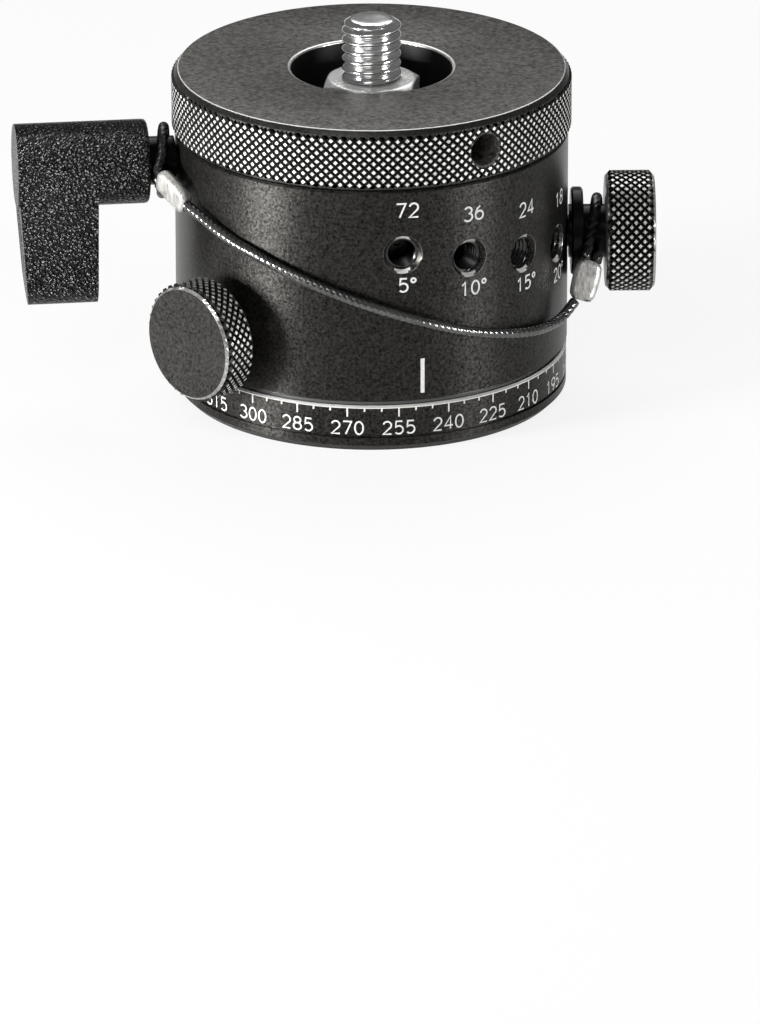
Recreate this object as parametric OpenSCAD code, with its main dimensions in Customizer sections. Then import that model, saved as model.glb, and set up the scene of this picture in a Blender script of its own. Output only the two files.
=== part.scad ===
// Panoramic tripod head: a graduated base, an indexing body that turns on it,
// and a knurled platform on top that is clamped by a side lever.
// Origin: centre of the tripod thread at the underside of the base. +Z is up.
// The front, where azimuth is 0, faces -Y. Azimuths grow towards +X.

/* [Base] */
// Step from the body's side in to the base's
base_inset = 0.1; // [0:0.1:1]
// Height of the graduated base
base_h = 7.8; // [7:0.2:10]
// Chamfer round the foot of the base
base_chamfer = 1.1; // [0.4:0.1:1.6]
// Depth of the tripod thread
tripod_thread_depth = 12.5; // [10:0.5:16]
// Diameter of the spindle's foot flange
foot_flange_d = 30; // [28:0.5:32]
// Thickness of the spindle's foot flange
foot_flange_t = 4; // [3:0.5:5]

/* [Body] */
// Outside diameter of the turning body
body_d = 63; // [61:0.5:66]
// Height of the turning body
body_h = 35.4; // [34:0.2:40]
// Open gap between the base and the body
pan_gap = 0.7; // [0.5:0.1:1]
// Wall of the body round the index drum
body_wall = 6; // [5:0.25:7]
// Wall of the body round the clamp hub
collar_wall = 8.3; // [7.5:0.1:9]
// Thickness of the web between the drum and the hub
web_t = 2; // [1.6:0.1:2.2]
// Diameter of the spindle
spindle_d = 16; // [15:0.25:17]
// Wall of the plain bearing on the spindle
bush_wall = 1.95; // [1.5:0.05:2.5]

/* [Index] */
// Number of stops per turn that each index hole gives, highest hole first
stops = [72, 36, 24, 18, 15, 12, 10, 8, 6, 4];
// Azimuth of the hole that holds the index plunger
index_az = 91; // [86:1:96]
// Height of the hole that holds the index plunger
index_z = 25.8; // [25.2:0.1:26.4]
// Angle from one index hole to the next
hole_step = 20.5; // [18:0.5:22]
// Drop from one index hole to the next
hole_drop = 1.87; // [1.6:0.01:1.9]
// Diameter of the index holes
index_hole_d = 5.2; // [4.8:0.1:5.6]
// Diameter of the bevel at the mouth of an index hole
index_mouth_d = 6.3; // [5.9:0.1:7]
// Diameter of one detent in the drum
detent_d = 1.6; // [1.2:0.1:1.8]
// Depth of one detent in the drum
detent_depth = 0.6; // [0.4:0.1:0.9]
// Diameter of the index knob and of the lock knob
knob_d = 19.4; // [18:0.2:20.4]
// Thickness of the index knob
index_knob_t = 7.9; // [7:0.1:10]
// Distance from the body to the index knob
index_knob_gap = 6; // [5.9:0.1:7.5]

/* [Lock knob] */
// Azimuth of the lock knob
lock_az = -46; // [-52:1:-40]
// Height of the lock knob's axis
lock_z = 17.2; // [16.6:0.1:18]
// Thickness of the lock knob
lock_knob_t = 5.9; // [5:0.1:8]
// Distance from the body to the lock knob
lock_knob_gap = 3.2; // [2.5:0.1:4.5]
// Diameter of the lock screw
lock_screw_d = 5; // [4.6:0.1:5.4]

/* [Clamp lever] */
// Azimuth of the clamp lever
lever_az = -83; // [-86:1:-80]
// Distance from the body to the lever
lever_gap = 4.6; // [4.5:0.1:6]
// Diameter of the lever's hub
lever_hub_d = 13.5; // [12:0.1:14]
// Length of the lever along its axis
lever_l = 21.2; // [18:0.2:24]
// Width of the lever's arm along the axis
lever_arm_w = 12.8; // [10:0.2:14]
// Reach of the lever's arm from the axis to its tip
lever_reach = 23.4; // [20:0.2:26]
// Diameter of the lever's rounded tip
lever_tip_d = 9.4; // [8:0.2:11]
// Diameter of the clamp screw
clamp_screw_d = 5; // [4.6:0.1:5.4]

/* [Platform] */
// Overhang of the knurled platform past the body's side
disc_overhang = 0.5; // [0:0.1:2]
// Thickness of the knurled platform
disc_h = 9.9; // [9:0.1:12]
// Gap between the body and the platform
disc_gap = 0.2; // [0.2:0.1:0.5]
// Chamfer of the platform's top edge
disc_chamfer = 1.15; // [0.5:0.05:1.5]
// Diameter of the recess round the camera screw
recess_d = 25.9; // [25.4:0.1:28]
// Depth of the recess round the camera screw
recess_h = 6.9; // [6.3:0.1:7.2]
// Diameter of the tommy bar hole in the rim
bar_hole_d = 5.3; // [4:0.1:6]
// Depth of the tommy bar hole
bar_hole_depth = 8; // [5:0.5:9]
// Azimuth of the tommy bar hole
bar_hole_az = 34.5; // [0:0.5:90]

/* [Screws] */
// Diameter of the camera screw, a 3/8 inch thread
camera_screw_d = 9.525; // [9:0.005:9.6]
// Height of the camera screw above the platform
camera_screw_rise = 8.1; // [7:0.1:9]
// Width across flats of the camera screw's lock nut
nut_af = 14.3; // [14:0.1:15]
// Thickness of the camera screw's lock nut
nut_h = 5; // [4:0.1:6]

/* [Safety wire] */
// Diameter of the coated wire
wire_d = 1.7; // [1.3:0.1:1.7]
// Radius of the wire's eyes, to the middle of the wire
eye_r = 5.3; // [5.3:0.1:5.5]
// Width of a crimped ferrule
ferrule_w = 4.4; // [4:0.1:4.4]
// Thickness of a crimped ferrule
ferrule_t = 2.3; // [2:0.1:2.4]

/* [Hidden] */
$fn = 96;

// Clearances
run_gap = 0.05;        // radial gap of a running fit
face_gap = 0.05;       // axial gap between faces that slide on each other
free_gap = 0.3;        // radial gap between parts that never touch
seat_gap = 0.02;       // radial gap of parts that are pressed or screwed together
over = 1;              // length by which a cut runs past the face it opens
end_gap = 0.4;         // free length behind the end of a screw in its hole
edge = 0.3;            // small turned edge break

// Levels
body_r = body_d / 2;
base_r = body_r - base_inset;
disc_r = body_r + disc_overhang;
body_z0 = base_h + pan_gap;
body_z1 = body_z0 + body_h;
disc_z0 = body_z1 + disc_gap;
disc_z1 = disc_z0 + disc_h;
recess_z = disc_z1 - recess_h;

// Inside of the body
drum_bore_r = body_r - body_wall;
drum_r = drum_bore_r - free_gap;
hub_bore_r = body_r - collar_wall;
hub_r = hub_bore_r - free_gap;
spindle_r = spindle_d / 2;
thrust_inset = 1.45;
ring_nut_inset = 0.55;
ring_room = hub_r - spindle_r - seat_gap - thrust_inset - ring_nut_inset;
hub_share = 0.5745;    // of the room between spindle and collar; the ring nut has the rest
hub_wall = hub_share * ring_room;
hub_inner_r = hub_r - hub_wall;
bush_r = spindle_r + run_gap + bush_wall;
boss_wall = 5;
boss_r = bush_r + boss_wall;
drum_inner_r = boss_r + free_gap;
hub_pocket_h = 7;
web_z1 = body_z1 - hub_pocket_h;
web_z0 = web_z1 - web_t;
drum_top_gap = 0.2;
drum_z1 = web_z0 - drum_top_gap;
drum_floor_t = 5.2;
drum_floor_z = base_h + drum_floor_t;
boss_lift = 7;
boss_z0 = drum_floor_z + boss_lift;
bush_flange_t = 1.5;
bush_flange_w = 2;

// Stack that holds the body down on the spindle
thrust_z = web_z1 + face_gap;
thrust_t = 1;
spring_t = 0.8;
spring_rise = 0.5;
spring_inset = 0.6;
nut_z = thrust_z + thrust_t + spring_t + spring_rise;
ring_nut_t = 2.7;
thrust_r = hub_inner_r - thrust_inset;
ring_nut_r = thrust_r - ring_nut_inset;
spring_r = ring_nut_r - spring_inset;
nut_slot_w = 3;
nut_slot_depth = 1.5;
spindle_z1 = nut_z + ring_nut_t + edge;
tripod_thread_r = 4.8;
hex_key_r = 3;
hex_key_depth = 3;

// Screws in the foot: three through the spindle's flange, three into the drum
foot_screw_n = 3;
foot_screw_d = 3;
foot_screw_head_d = 5.4;
foot_screw_head_t = 1.5;
foot_screw_l = 6.6;
foot_screw_inset = 3.4;
foot_screw_r = foot_flange_d / 2 - foot_screw_inset;
foot_sink = 0.2;
drum_screw_d = 4;
drum_screw_head_d = 7;
drum_screw_head_t = 4;
drum_screw_l = 7.4;
drum_screw_r = (foot_flange_d / 2 + drum_r) / 2;
drum_screw_phase = 60;
drum_screw_z1 = foot_sink + drum_screw_head_t + drum_screw_l;

// Underside and rim of the base
relief_w = 7;
relief_depth = 0.5;
rim_groove_z = 2.4;
rim_groove_h = 0.5;
rim_groove_depth = 0.4;

// Washers
pan_washer_w = 4.6;
pan_washer_inset = 0.9;
hub_washer_t = 0.5;
hub_washer_w = 5;

// Clamp hub under the platform
hub_z0 = web_z1 + hub_washer_t + 2 * face_gap;
hub_spigot_h = 0.7;
hub_screw_n = 4;
hub_screw_phase = 45;
hub_screw_d = 3;
hub_screw_head_d = 5.4;
hub_screw_head_t = 1.5;
hub_screw_r = hub_inner_r + hub_wall / 2;
hub_screw_grip = 3;
hub_screw_l = disc_z0 - hub_z0 + hub_screw_grip;
clamp_drop = 4.4;
clamp_z = body_z1 - clamp_drop;
groove_depth = 1.2;

// Index holes and plunger
index_station = 5;
index_hole_r = index_hole_d / 2;
mouth_r = index_mouth_d / 2;
detent_r = detent_d / 2;
nose_gap = 0.1;
ball_r = 1.5;
ball_pocket_r = 1.6;
ball_mouth_r = 1.35;
ball_lip_t = 0.3;
barrel_tip_gap = 0.6;
spring_wire_d = 0.5;
spring_turns = 7;
spring_side_gap = 0.15;
pocket_l = 10.1;
plunger_stem_r = 4.3;
plunger_spigot_r = 3;
plunger_spigot_l = 5.5;
stem_gap = 0.15;
index_washer_d = 14.2;
index_washer_t = 1.9;
index_washer_gap = 0.5;
index_eye_gap = 4.45;
knob_chamfer = 0.6;
knob_r = knob_d / 2;

// Lock screw
lock_screw_r = lock_screw_d / 2;
shoe_gap = 0.1;
shoe_l = 2.8;
knob_boss_r = 4.5;
knob_boss_gap = 0.4;
stud_in_knob = 4.2;

// Clamp lever
clamp_screw_r = clamp_screw_d / 2;
lever_neck_r = 3.9;
lever_neck_gap = 0.3;
lever_edge = 0.9;
lever_face_tilt = 5.5;
lever_face_drop = 6;
stud_in_lever = 14;
lever_eye_gap = 2.1;

// Platform details
bar_hole_bevel = 0.45;
recess_bevel = 0.35;
disc_foot_chamfer = 0.9;
thread_half_depth = 0.5;   // the seated thread is drawn at its mean diameter
thread_shoulder_gap = 0.1;
screw_point = 1.3;
screw_point_h = 0.9;
seated_r = camera_screw_d / 2 - thread_half_depth;
key_slot_w = 1.6;
key_slot_depth = 1.5;
nut_turn = 21;
nut_face_r = nut_af / 2 - 0.3;
nut_bevel_z = nut_h - (nut_af - nut_face_r) * tan(30);

// Safety wire: azimuth, radius and height of each point from ferrule to ferrule
wire_route = [
    [-61, 33.5, 36.2], [-56, 32.9, 35.3], [-51, 32.6, 34.4], [-46, 32.6, 33.6],
    [-41, 32.6, 32.8], [-36, 32.6, 32.1], [-31, 32.6, 31.2], [-26, 32.6, 30.3],
    [-21, 32.6, 29.3], [-16, 32.6, 28.3], [-11, 32.6, 27.3], [-6, 32.6, 26.3],
    [-1, 32.6, 25.3], [4, 32.6, 24.3], [9, 32.6, 23.3], [14, 32.6, 22.3],
    [19, 32.6, 21.3], [24, 32.6, 20.3], [29, 32.6, 19.4], [34, 32.6, 18.6],
    [39, 32.6, 17.9], [44, 32.6, 17.2], [49, 32.6, 16.6], [54, 32.6, 16.1],
    [59, 32.6, 15.8], [64, 32.8, 15.7], [68, 33.3, 16.3], [72, 34.2, 17.8]
];
tube_sides = 8;
eye_steps = 16;
spring_sides = 6;
turn_steps = 8;
lever_tip_offset = [6.4, 1, -0.6];        // along, outward and up from the eye's centre
plunger_tip_offset = [-9.1, -1, -1.8];
plunger_end_offset = [0, 0.9, 0.2];       // from the wire's end to the middle of the ferrule's end

// Direction and point helpers
function outward(az) = [sin(az), -cos(az), 0];
function along(az) = [cos(az), sin(az), 0];
function turned(az, v) = v[0] * along(az) + v[1] * outward(az) + [0, 0, v[2]];
function polar(p) = turned(p[0], [0, p[1], p[2]]);
function unit(v) = v / norm(v);
function mid_tangent(pts, i) =
    unit(pts[min(i + 1, len(pts) - 1)] - pts[max(i - 1, 0)]);

wire_points = [for (p = wire_route) polar(p)];
wire_start = wire_points[0];
wire_end = wire_points[len(wire_points) - 1];

// Puts a piece that is drawn along +Z onto the radius at an azimuth and a height;
// its +X then points down and its +Y towards growing azimuth
module at_azimuth(az, z)
    translate([0, 0, z])
        rotate([0, 0, az - 90])
            rotate([0, 90, 0])
                children();

// Copies a piece n times round the axis
module around(n, phase = 0)
    for (k = [0:n - 1])
        rotate([0, 0, phase + k * 360 / n])
            children();

// Plain ring between two radii
module ring(r_in, r_out, h)
    rotate_extrude()
        translate([r_in, 0])
            square([r_out - r_in, h]);

// Turned disc with both edges broken
module turned_disc(r, h, c_low, c_high)
    rotate_extrude()
        polygon([[0, 0], [r - c_low, 0], [r, c_low], [r, h - c_high], [r - c_high, h], [0, h]]);

// Countersunk screw, head down, with a hexagon socket
module countersunk_screw(d, head_d, head_t, l)
    difference() {
        union() {
            cylinder(d1 = head_d, d2 = d, h = head_t);
            cylinder(d = d, h = l);
        }
        translate([0, 0, -over])
            cylinder(r = d / 3, h = over + head_t * 0.75, $fn = 6);
    }

// Countersunk hole for the screw above, opened downwards
module countersunk_hole(d, head_d, head_t, l, sink) {
    gap = 2 * seat_gap;
    translate([0, 0, -sink - over])
        cylinder(d = head_d + gap, h = over + sink + seat_gap);
    cylinder(d1 = head_d + gap, d2 = d + gap, h = head_t);
    cylinder(d = d + gap, h = l + end_gap);
}

// Socket cap screw, head down
module cap_screw(d, head_d, head_t, l)
    difference() {
        union() {
            cylinder(d = head_d, h = head_t);
            cylinder(d = d, h = head_t + l);
        }
        translate([0, 0, -over])
            cylinder(r = d * 0.4, h = over + head_t / 2, $fn = 6);
    }

// Faceted tube swept along points; `up` is the side direction at each point
module swept_tube(pts, dirs, ups, d, sides = tube_sides) {
    n = len(pts);
    rings = [
        for (i = [0:n - 1])
            let (side = unit(cross(dirs[i], ups[i])), top = cross(side, dirs[i]))
                for (k = [0:sides - 1])
                    let (a = (k + 0.5) * 360 / sides)
                        pts[i] + d / 2 * (cos(a) * side + sin(a) * top)
    ];
    walls = [
        for (i = [0:n - 2], k = [0:sides - 1])
            let (
                a = i * sides + k,
                b = i * sides + (k + 1) % sides
            )
                each [[a, b, b + sides], [a, b + sides, a + sides]]
    ];
    first_cap = [for (k = [1:sides - 2]) [0, k + 1, k]];
    last = (n - 1) * sides;
    last_cap = [for (k = [1:sides - 2]) [last, last + k, last + k + 1]];
    polyhedron(points = rings, faces = concat(walls, first_cap, last_cap));
}

// Loop of wire round a stem: its two legs leave side by side through `tip`, along `way_out`
module wire_eye(centre, axis, r, tip, way_out, side_out, d) {
    reach = tip - centre;
    way = unit(reach);
    flat = unit(axis - (axis * way) * way);
    side = cross(flat, way);
    half = acos(min(1, r / norm(reach)));
    leg = (side * side_out < 0 ? -1 : 1) * (d / 2 + face_gap) * side_out;
    arc = [
        for (i = [0:eye_steps])
            let (a = half + i * (360 - 2 * half) / eye_steps)
                centre + r * (cos(a) * way + sin(a) * side)
    ];
    path = concat([tip + leg, tip + leg - way_out], arc, [tip - leg - way_out, tip - leg]);
    dirs = concat(
        [-way_out],
        [for (i = [1:len(path) - 2]) mid_tangent(path, i)],
        [way_out]
    );
    swept_tube(path, dirs, [for (p = path) flat], d);
}

// ---- Base ----

module base_plate()
    color([0.13, 0.13, 0.13])
    difference() {
        rotate_extrude()
            difference() {
                polygon([
                    [0, 0], [base_r - base_chamfer, 0], [base_r, base_chamfer],
                    [base_r, base_h - edge], [base_r - edge, base_h], [0, base_h]
                ]);
                translate([base_r - rim_groove_depth, rim_groove_z])
                    square([over, rim_groove_h]);
                translate([base_r - base_chamfer - 2 - relief_w, -over])
                    square([relief_w, over + relief_depth]);
            }
        translate([0, 0, -over])
            cylinder(r = spindle_r + seat_gap, h = base_h + 2 * over);
        translate([0, 0, -over])
            cylinder(r = foot_flange_d / 2 + seat_gap, h = foot_flange_t + over);
        around(foot_screw_n)
            translate([foot_screw_r, 0, foot_sink])
                cylinder(d = foot_screw_d + 2 * seat_gap, h = foot_screw_l + end_gap);
        around(foot_screw_n, drum_screw_phase)
            translate([drum_screw_r, 0, 0]) {
                translate([0, 0, -over])
                    cylinder(d = drum_screw_head_d + 2 * seat_gap, h = drum_screw_head_t + foot_sink + over);
                cylinder(d = drum_screw_d + 2 * seat_gap, h = base_h + over);
            }
    }

module spindle()
    color([0.62, 0.62, 0.62])
    difference() {
        union() {
            cylinder(r = foot_flange_d / 2, h = foot_flange_t);
            cylinder(r = spindle_r, h = spindle_z1 - edge);
            translate([0, 0, spindle_z1 - edge])
                cylinder(r1 = spindle_r, r2 = spindle_r - edge, h = edge);
        }
        translate([0, 0, -over])
            cylinder(r = tripod_thread_r, h = tripod_thread_depth + over);
        translate([0, 0, spindle_z1 - hex_key_depth])
            cylinder(r = hex_key_r, h = hex_key_depth + over, $fn = 6);
        around(foot_screw_n)
            translate([foot_screw_r, 0, foot_sink])
                countersunk_hole(
                    foot_screw_d, foot_screw_head_d, foot_screw_head_t, foot_screw_l, foot_sink
                );
    }

module spindle_screws()
    color([0.5, 0.5, 0.5])
    around(foot_screw_n)
        translate([foot_screw_r, 0, foot_sink])
            countersunk_screw(foot_screw_d, foot_screw_head_d, foot_screw_head_t, foot_screw_l);

// Index drum: one row of detents for each index hole
module index_drum()
    color([0.72, 0.6, 0.32])
    difference() {
        translate([0, 0, base_h])
            rotate_extrude()
                polygon([
                    [spindle_r + seat_gap, 0], [drum_r - edge, 0], [drum_r, edge],
                    [drum_r, drum_z1 - base_h - edge], [drum_r - edge, drum_z1 - base_h],
                    [drum_inner_r, drum_z1 - base_h], [drum_inner_r, drum_floor_t],
                    [spindle_r + seat_gap, drum_floor_t]
                ]);
        for (i = [0:len(stops) - 1], k = [0:stops[i] - 1])
            at_azimuth(hole_az(i) + k * 360 / stops[i], hole_z(i))
                translate([0, 0, drum_r - detent_depth])
                    cylinder(r = detent_r, h = detent_depth + over, $fn = 24);
        around(foot_screw_n, drum_screw_phase)
            translate([drum_screw_r, 0, base_h - over])
                cylinder(
                    d = drum_screw_d + 2 * seat_gap, h = over + drum_screw_z1 + end_gap - base_h
                );
    }

module drum_screws()
    color([0.3, 0.3, 0.3])
    around(foot_screw_n, drum_screw_phase)
        translate([drum_screw_r, 0, foot_sink])
            cap_screw(drum_screw_d, drum_screw_head_d, drum_screw_head_t, drum_screw_l);

module pan_washer()
    color([0.2, 0.2, 0.2])
    translate([0, 0, base_h])
        ring(
            body_r - pan_washer_inset - pan_washer_w, body_r - pan_washer_inset,
            pan_gap - face_gap
        );

module thrust_washer()
    color([0.75, 0.62, 0.35])
    translate([0, 0, thrust_z])
        ring(spindle_r + run_gap, thrust_r, thrust_t);

// Cupped spring washer
module disc_spring()
    color([0.55, 0.55, 0.55])
    translate([0, 0, thrust_z + thrust_t])
        rotate_extrude()
            polygon([
                [spindle_r + free_gap, spring_rise], [spring_r, 0],
                [spring_r, spring_t], [spindle_r + free_gap, spring_t + spring_rise]
            ]);

module retaining_nut()
    color([0.5, 0.5, 0.5])
    translate([0, 0, nut_z])
        difference() {
            ring(spindle_r + seat_gap, ring_nut_r, ring_nut_t);
            around(4)
                translate([ring_nut_r - nut_slot_depth, -nut_slot_w / 2, -over])
                    cube([nut_slot_depth + over, nut_slot_w, ring_nut_t + 2 * over]);
        }

// ---- Turning body ----

function hole_az(i) = index_az + (i + 1 - index_station) * hole_step;
function hole_z(i) = index_z - (i + 1 - index_station) * hole_drop;

// Threaded hole through the body's wall with a bevelled mouth
module radial_hole(az, z, r, mouth, r_from)
    at_azimuth(az, z) {
        translate([0, 0, r_from])
            cylinder(r = r, h = body_r - r_from + over);
        translate([0, 0, body_r - (mouth - r)])
            cylinder(r1 = r, r2 = mouth + over, h = mouth - r + over);
    }

module housing()
    color([0.1, 0.1, 0.1])
    difference() {
        rotate_extrude()
            polygon([
                [drum_bore_r, body_z0], [body_r - edge, body_z0], [body_r, body_z0 + edge],
                [body_r, body_z1 - edge], [body_r - edge, body_z1], [hub_bore_r, body_z1],
                [hub_bore_r, web_z1], [bush_r + seat_gap, web_z1], [bush_r + seat_gap, boss_z0],
                [boss_r, boss_z0], [boss_r, web_z0], [drum_bore_r, web_z0]
            ]);
        for (i = [0:len(stops) - 1])
            radial_hole(hole_az(i), hole_z(i), index_hole_r, mouth_r, drum_bore_r - over);
        radial_hole(lock_az, lock_z, lock_screw_r, lock_screw_r + edge, drum_bore_r - over);
        radial_hole(lever_az, clamp_z, clamp_screw_r, clamp_screw_r + edge, hub_bore_r - over);
    }

module pan_bush()
    color([0.72, 0.5, 0.28])
    translate([0, 0, boss_z0 - bush_flange_t]) {
        ring(spindle_r + run_gap, bush_r + bush_flange_w, bush_flange_t);
        ring(spindle_r + run_gap, bush_r, web_z1 - boss_z0 + bush_flange_t);
    }

module hub_washer()
    color([0.85, 0.85, 0.82])
    translate([0, 0, web_z1 + face_gap])
        ring(hub_r - hub_washer_w, hub_r, hub_washer_t);

// ---- Platform ----

module platform_disc()
    color([0.26, 0.25, 0.24])
    difference() {
        union() {
            translate([0, 0, disc_z0])
                turned_disc(disc_r, disc_h, disc_foot_chamfer, disc_chamfer);
            translate([0, 0, disc_z0 - hub_spigot_h])
                cylinder(r = hub_inner_r - seat_gap, h = hub_spigot_h + over);
        }
        translate([0, 0, recess_z])
            cylinder(d = recess_d, h = recess_h + over);
        translate([0, 0, disc_z1 - recess_bevel])
            cylinder(d1 = recess_d, d2 = recess_d + 2 * (recess_bevel + over), h = recess_bevel + over);
        translate([0, 0, disc_z0 - hub_spigot_h - over])
            cylinder(r = seated_r + seat_gap, h = disc_h + 2 * over);
        at_azimuth(bar_hole_az, disc_z0 + disc_h / 2) {
            translate([0, 0, disc_r - bar_hole_depth])
                cylinder(d = bar_hole_d, h = bar_hole_depth + over);
            translate([0, 0, disc_r - bar_hole_bevel])
                cylinder(
                    d1 = bar_hole_d, d2 = bar_hole_d + 2 * (bar_hole_bevel + over),
                    h = bar_hole_bevel + over
                );
        }
        around(hub_screw_n, hub_screw_phase)
            translate([hub_screw_r, 0, disc_z0 - over])
                cylinder(d = hub_screw_d + 2 * seat_gap, h = over + hub_screw_grip + foot_sink + end_gap);
    }

// Hub with the vee groove that the clamp shoe draws down on
module clamp_hub()
    color([0.6, 0.6, 0.58])
    difference() {
        rotate_extrude()
            polygon([
                [hub_inner_r, hub_z0], [hub_r - edge, hub_z0], [hub_r, hub_z0 + edge],
                [hub_r, clamp_z - groove_depth], [hub_r - groove_depth, clamp_z],
                [hub_r, clamp_z + groove_depth], [hub_r, disc_z0], [hub_inner_r, disc_z0]
            ]);
        around(hub_screw_n, hub_screw_phase)
            translate([hub_screw_r, 0, hub_z0 + foot_sink])
                countersunk_hole(
                    hub_screw_d, hub_screw_head_d, hub_screw_head_t, hub_screw_l, foot_sink
                );
    }

module hub_screws()
    color([0.5, 0.5, 0.5])
    around(hub_screw_n, hub_screw_phase)
        translate([hub_screw_r, 0, hub_z0 + foot_sink])
            countersunk_screw(hub_screw_d, hub_screw_head_d, hub_screw_head_t, hub_screw_l);

// Camera screw: a threaded stud, pointed at the top and slotted below
module camera_screw() {
    r = camera_screw_d / 2;
    z0 = disc_z0 - hub_spigot_h;
    l = disc_z1 + camera_screw_rise - z0;
    free_z0 = recess_z + nut_h + thread_shoulder_gap - z0;
    color([0.78, 0.78, 0.77])
    translate([0, 0, z0])
        difference() {
            rotate_extrude()
                polygon([
                    [0, 0], [seated_r - edge, 0], [seated_r, edge], [seated_r, free_z0], [r, free_z0],
                    [r, l - screw_point_h], [r - screw_point, l], [0, l]
                ]);
            translate([-r - over, -key_slot_w / 2, -over])
                cube([2 * (r + over), key_slot_w, over + key_slot_depth]);
        }
}

module camera_lock_nut()
    color([0.75, 0.75, 0.74])
    translate([0, 0, recess_z])
        difference() {
            intersection() {
                rotate([0, 0, nut_turn])
                    cylinder(d = nut_af / cos(30), h = nut_h, $fn = 6);
                rotate_extrude()
                    polygon([
                        [0, 0], [nut_af, 0], [nut_af, nut_bevel_z], [nut_face_r, nut_h], [0, nut_h]
                    ]);
            }
            translate([0, 0, -over])
                cylinder(r = seated_r + seat_gap, h = nut_h + 2 * over);
        }

// ---- Clamp lever ----

lever_r0 = body_r + lever_gap;
lever_r1 = lever_r0 + lever_l;

// Outline of the arm seen along the axis: the hub's circle drawn down to the tip
module arm_outline() {
    r1 = lever_hub_d / 2;
    r2 = lever_tip_d / 2;
    l = lever_reach - r2;
    s = (r1 - r2) / l;
    c = sqrt(1 - s * s);
    circle(r = r1);
    translate([l, 0])
        circle(r = r2);
    polygon([
        [r1 * s, r1 * c], [r1 * s, -r1 * c], [l + r2 * s, -r2 * c], [l + r2 * s, r2 * c]
    ]);
}

module clamp_lever()
    color([0.12, 0.12, 0.12])
    at_azimuth(lever_az, clamp_z)
        difference() {
            union() {
                translate([0, 0, lever_r0])
                    turned_disc(lever_hub_d / 2, lever_l, lever_edge, edge);
                translate([0, 0, lever_r1 - lever_arm_w])
                    linear_extrude(lever_arm_w)
                        arm_outline();
            }
            translate([lever_face_drop, -lever_hub_d, lever_r1])
                rotate([0, lever_face_tilt, 0])
                    cube([2 * lever_reach, 2 * lever_hub_d, lever_l]);
            translate([0, 0, lever_r0 - over])
                cylinder(r = clamp_screw_r - run_gap + seat_gap, h = stud_in_lever + over);
        }

module clamp_stud()
    color([0.15, 0.15, 0.15])
    at_azimuth(lever_az, clamp_z) {
        translate([0, 0, clamp_shoe_r1 + face_gap])
            cylinder(
                r = clamp_screw_r - run_gap, h = lever_r0 + stud_in_lever - end_gap - clamp_shoe_r1 - face_gap
            );
        translate([0, 0, body_r + lever_neck_gap])
            cylinder(r = lever_neck_r, h = lever_gap - lever_neck_gap);
    }

// Brass shoe with a cone that seats in the hub's vee groove
clamp_tip_r = hub_r - groove_depth + shoe_gap;
clamp_shoe_r1 = clamp_tip_r + clamp_screw_r + shoe_l;
module clamp_shoe() {
    r = clamp_screw_r - run_gap;
    l = clamp_shoe_r1 - clamp_tip_r;
    color([0.75, 0.62, 0.35])
    at_azimuth(lever_az, clamp_z)
        translate([0, 0, clamp_tip_r])
            rotate_extrude()
                polygon([[0, edge], [edge, edge], [r, r], [r, l], [0, l]]);
}

// ---- Lock knob ----

module lock_knob() {
    r0 = body_r + lock_knob_gap;
    color([0.2, 0.2, 0.2])
    at_azimuth(lock_az, lock_z)
        difference() {
            union() {
                translate([0, 0, r0])
                    turned_disc(knob_r, lock_knob_t, knob_chamfer, knob_chamfer);
                translate([0, 0, body_r + knob_boss_gap])
                    cylinder(r = knob_boss_r, h = r0 - body_r - knob_boss_gap + over);
            }
            translate([0, 0, body_r + knob_boss_gap - over])
                cylinder(
                    r = lock_screw_r - run_gap + seat_gap,
                    h = r0 - body_r - knob_boss_gap + stud_in_knob + over
                );
        }
}

module lock_stud()
    color([0.6, 0.6, 0.6])
    at_azimuth(lock_az, lock_z)
        translate([0, 0, lock_shoe_r1 + face_gap])
            cylinder(
                r = lock_screw_r - run_gap,
                h = body_r + lock_knob_gap + stud_in_knob - end_gap - lock_shoe_r1 - face_gap
            );

lock_shoe_r1 = drum_r + shoe_gap + shoe_l;
module lock_shoe()
    color([0.75, 0.62, 0.35])
    at_azimuth(lock_az, lock_z)
        translate([0, 0, drum_r + shoe_gap])
            cylinder(r = lock_screw_r - run_gap, h = shoe_l);

// ---- Index plunger ----

barrel_r0 = drum_r + barrel_tip_gap;
index_knob_r0 = body_r + index_knob_gap;
pocket_r0 = barrel_r0 + ball_lip_t;

module index_knob()
    color([0.16, 0.16, 0.16])
    at_azimuth(index_az, index_z)
        difference() {
            translate([0, 0, index_knob_r0])
                turned_disc(knob_r, index_knob_t, knob_chamfer, knob_chamfer);
            translate([0, 0, index_knob_r0 - over])
                cylinder(r = plunger_spigot_r + seat_gap, h = plunger_spigot_l + end_gap + over);
        }

// Threaded barrel with its stem; the ball is held behind the lip at the tip
module index_barrel() {
    stem_r0 = body_r + stem_gap;
    color([0.18, 0.18, 0.18])
    at_azimuth(index_az, index_z)
        difference() {
            union() {
                translate([0, 0, barrel_r0])
                    cylinder(r = index_hole_r - run_gap, h = stem_r0 - barrel_r0 + over);
                translate([0, 0, stem_r0])
                    cylinder(r = plunger_stem_r, h = index_knob_r0 - stem_r0);
                translate([0, 0, index_knob_r0 - over])
                    cylinder(r = plunger_spigot_r, h = plunger_spigot_l + over);
            }
            translate([0, 0, barrel_r0 - over])
                cylinder(r = ball_mouth_r, h = ball_lip_t + 2 * over);
            translate([0, 0, pocket_r0])
                cylinder(r = ball_pocket_r, h = pocket_l);
        }
}

ball_centre_r = drum_r + nose_gap + ball_r;
module index_ball()
    color([0.8, 0.8, 0.8])
    at_azimuth(index_az, index_z)
        translate([0, 0, ball_centre_r])
            sphere(r = ball_r, $fn = 48);

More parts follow.
